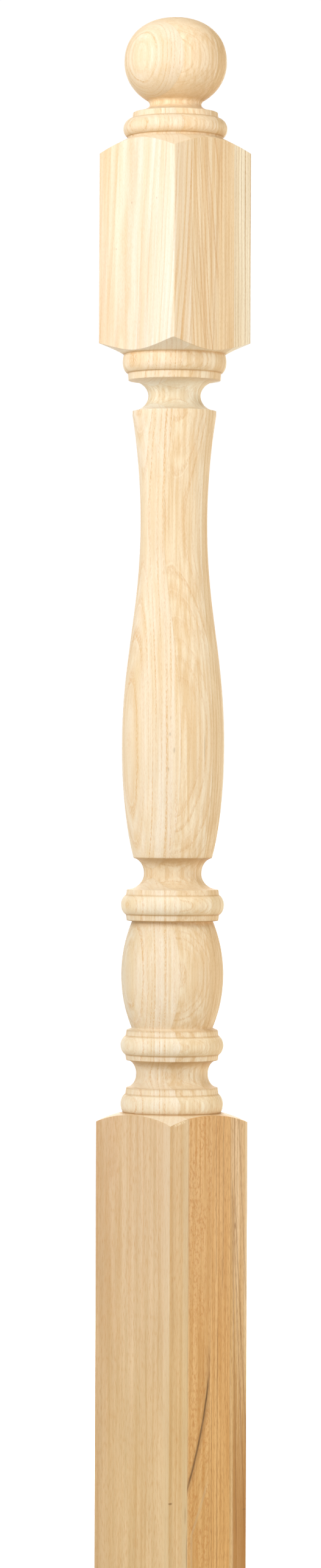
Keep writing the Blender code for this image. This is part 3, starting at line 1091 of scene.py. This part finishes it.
def mineral_streak(bench, wood, shiver):
    """Shares of the second board's streak: its brown edges, its dark core and the grey one beside it."""
    off = wood.y + wood.sweep + shiver * STREAK_SHIVER
    visible = wood.second * (wood.x > NEAR_SIDE)
    shares = []
    for vein in (BROWN_EDGES, DARK_CORE, GREY_BESIDE):
        near = 1.0 - bench.between(abs(off - vein.aside), vein.inner, vein.outer)
        shares.append(near * window(bench, wood.height, vein.low, vein.high, vein.soft) * visible)
    return shares


def torn_edge(bench, wood):
    """Torn grain under the lower square's shoulder, on the right-hand face."""
    torn = bench.uneven(TORN_GRAIN, wood.x, wood.y, wood.height)
    torn = bench.between(torn, *TORN_RANGE) * window(bench, wood.y, *TORN_STRIP)
    close = bench.between(wood.height - wood.y * TORN_SLANT, *TORN_FADE)
    return torn * close * wood.planed * (wood.x > FACE_WITH_ARRIS) * 0.60


def marks(bench, wood):
    """Single marks, each with its share and tone: glue lines, dark lines, streak, knots, torn edge."""
    shiver = bench.uneven(SHIVER, 0.0, wood.y, wood.height) - 0.5
    brown, core, grey = mineral_streak(bench, wood, shiver)
    traces = dark_traces(bench, wood, shiver)
    return [
        (wood.seam * (0.06 + wood.planed * 0.16), GLUE_TONE),
        (traces * (0.55 + wood.fine * 0.60), bench.blend(wood.planed, *TRACE_TONES)),
        (brown * (0.15 + wood.fine * 0.70), BROWN_EDGES_TONE),
        (core * (0.50 + wood.fine * 0.60), DARK_CORE_TONE),
        (grey * (0.10 + wood.fine * 0.50), GREY_BESIDE_TONE),
        (spot_marks(bench, wood), SPOT_TONE),
        (torn_edge(bench, wood), TORN_TONE),
    ]


def bare_hardwood():
    """Pale hardwood, planed and sanded and left without a finish, solid through four boards."""
    material = bpy.data.materials.new("bare_hardwood")
    material.use_nodes = True
    material.node_tree.nodes.clear()
    bench = Bench(material.node_tree)
    wood = Wood(bench)
    row, late = growth_rings(bench, wood)
    pores = bench.between(wood.fine, *PORE_RANGE)
    colour = grown_colour(bench, wood, row, late, pores)
    places = ray_flecks(bench, wood) + foot_bands(bench, wood) + pale_strips(bench, wood)
    colour = bench.lay(colour, places)
    narrow = bench.uneven(NARROW_STREAKS, wood.x, wood.aside, wood.z)
    cloud = bench.uneven(CLOUDS, wood.x, wood.y, wood.z)
    tone = 0.88 + narrow * 0.14 + cloud * 0.10
    colour = bench.node("ShaderNodeVectorMath", {"operation": "SCALE"}, {0: colour, "Scale": tone})
    colour = bench.lay(colour, turned_tints(bench, wood) + square_tints(bench, wood), "MULTIPLY")
    colour = bench.lay(colour, marks(bench, wood))
    relief = wood.fibres * 0.3 + wood.fine * 0.5 - row * 0.6 - pores * 0.4
    values = {"Strength": BUMP_STRENGTH, "Distance": BUMP_DEPTH * MM, "Height": relief}
    bump = bench.node("ShaderNodeBump", None, values)
    values = {"Base Color": colour, "Roughness": 0.56 + wood.fine * 0.10 + row * 0.10, "Normal": bump,
              "Specular IOR Level": SHEEN_LEVEL}
    shader = bench.node("ShaderNodeBsdfPrincipled", None, values)
    bench.node("ShaderNodeOutputMaterial", None, {"Surface": shader}, output=None)
    return material


# The stage: a pale floor, soft light and the camera

CAMERA_AZIMUTH = math.radians(45.85)
CAMERA_DISTANCE = 3.80
EYE_HEIGHT = 0.6315
IMAGE_WIDTH, IMAGE_HEIGHT = 527, 2576
METRES_PER_PIXEL = 0.4651 * MM
HORIZON_ROW = 1293.0
AXIS_COLUMN = 284.0         # where the post's axis crosses the middle row
ROLL = 0.0038               # the post's top leans right by this share
FLOOR_REACH = 900.0

# How bright the studio is, seen from the post: the ground, the ring at eye level and the ceiling
GROUND_LIGHT = 0.87
RING_LIGHT = 0.95
CEILING_LIGHT = 1.62
BACKGROUND_WHITE = 1.03

# How far up the ground ends, the ring ends and the ceiling starts, as the sine of the height
GROUND_ENDS = (-0.02, 0.02)
RING_ENDS = (0.20, 0.30)
CEILING_STARTS = (0.76, 0.84)

FLOOR_GREY = 0.80
FLOOR_GLOW = 0.60

# Soft square lights: the way each comes from, in degrees, its height, the height it aims at, its
# distance from the axis and its size, in metres, and its power in watts
Light = namedtuple("Light", "name azimuth height aim distance size power")
LIGHTS = (
    Light("key", 14.0, 1.60, 1.10, 1.05, 0.60, 5.6),
    Light("left", 5.0, 1.90, 0.90, 2.60, 1.20, 34.0),
    Light("right", 120.0, 0.75, 0.65, 2.60, 1.20, 28.6),
    Light("back", 225.0, 1.60, 0.80, 3.20, 2.00, 60.0),
)


def make_camera():
    """The camera of the photo, a long lens at half the post's height."""
    data = bpy.data.cameras.new("camera")
    data.sensor_width = 36.0
    data.lens = data.sensor_width * CAMERA_DISTANCE / (IMAGE_HEIGHT * METRES_PER_PIXEL)
    camera = bpy.data.objects.new("camera", data)
    bpy.context.scene.collection.objects.link(camera)
    right = Vector((math.cos(CAMERA_AZIMUTH), math.sin(CAMERA_AZIMUTH), 0.0))
    back = Vector((math.sin(CAMERA_AZIMUTH), -math.cos(CAMERA_AZIMUTH), 0.0))
    up = (HORIZON_ROW - IMAGE_HEIGHT / 2) * METRES_PER_PIXEL / CAMERA_DISTANCE
    aside = (AXIS_COLUMN - IMAGE_WIDTH / 2) * METRES_PER_PIXEL / CAMERA_DISTANCE
    ahead = Vector((0.0, 0.0, up)) - back - right * aside
    camera.location = back * CAMERA_DISTANCE + Vector((0.0, 0.0, EYE_HEIGHT))
    camera.rotation_mode = "QUATERNION"
    camera.rotation_quaternion = ahead.to_track_quat("-Z", "Y") @ Quaternion((0.0, 0.0, 1.0), ROLL)
    bpy.context.scene.camera = camera


def make_floor():
    """A wide pale floor, lit a little from within so that it meets the background in white."""
    mesh = bpy.data.meshes.new("floor")
    corners = [(-FLOOR_REACH, -FLOOR_REACH, 0.0), (FLOOR_REACH, -FLOOR_REACH, 0.0),
               (FLOOR_REACH, FLOOR_REACH, 0.0), (-FLOOR_REACH, FLOOR_REACH, 0.0)]
    mesh.from_pydata(corners, [], [(0, 1, 2, 3)])
    floor = bpy.data.objects.new("floor", mesh)
    bpy.context.scene.collection.objects.link(floor)
    material = bpy.data.materials.new("pale_floor")
    material.use_nodes = True
    shader = material.node_tree.nodes["Principled BSDF"]
    shader.inputs["Base Color"].default_value = (FLOOR_GREY, FLOOR_GREY, FLOOR_GREY, 1.0)
    shader.inputs["Roughness"].default_value = 1.0
    shader.inputs["Specular IOR Level"].default_value = 0.0
    shader.inputs["Emission Color"].default_value = (1.0, 1.0, 1.0, 1.0)
    shader.inputs["Emission Strength"].default_value = FLOOR_GLOW
    mesh.materials.append(material)
    floor.visible_diffuse = False
    floor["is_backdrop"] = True


def make_light(settings):
    """A soft square light that faces a place on the post's axis."""
    data = bpy.data.lights.new(settings.name, "AREA")
    data.shape = "SQUARE"
    data.size = settings.size
    data.energy = settings.power
    light = bpy.data.objects.new(settings.name, data)
    angle = math.radians(settings.azimuth)
    reach = settings.distance
    light.location = (math.sin(angle) * reach, -math.cos(angle) * reach, settings.height)
    light.rotation_mode = "QUATERNION"
    aim = Vector((0.0, 0.0, settings.aim)) - light.location
    light.rotation_quaternion = aim.to_track_quat("-Z", "Y")
    light.visible_camera = False
    bpy.context.scene.collection.objects.link(light)


def make_world():
    """A white background, and for the light a white ring at eye level, a pale ground and a ceiling."""
    world = bpy.data.worlds.new("studio")
    world.use_nodes = True
    world.node_tree.nodes.clear()
    bench = Bench(world.node_tree)
    direction = bench.node("ShaderNodeTexCoord", output="Generated")
    _, _, rise = bench.parts(direction)
    light = GROUND_LIGHT + bench.between(rise, *GROUND_ENDS) * (RING_LIGHT - GROUND_LIGHT)
    light = light - bench.between(rise, *RING_ENDS) * RING_LIGHT
    light = light + bench.between(rise, *CEILING_STARTS) * CEILING_LIGHT
    seen = bench.node("ShaderNodeLightPath", output="Is Camera Ray")
    strength = light + seen * (BACKGROUND_WHITE - light)
    sky = bench.node("ShaderNodeBackground", None, {"Color": (1.0, 1.0, 1.0, 1.0), "Strength": strength})
    bench.node("ShaderNodeOutputWorld", None, {"Surface": sky}, output=None)
    bpy.context.scene.world = world


def main():
    wood = bare_hardwood()
    post = turn_post(wood)
    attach(post, "root")
    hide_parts("newel_post")
    make_floor()
    make_world()
    for settings in LIGHTS:
        make_light(settings)
    make_camera()
    bpy.context.scene.view_settings.view_transform = "Standard"
    boxes = {"cad": CAD_BOX, "visual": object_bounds()}
    boxes = {name: [list(corner) for corner in box] for name, box in boxes.items()}


main()
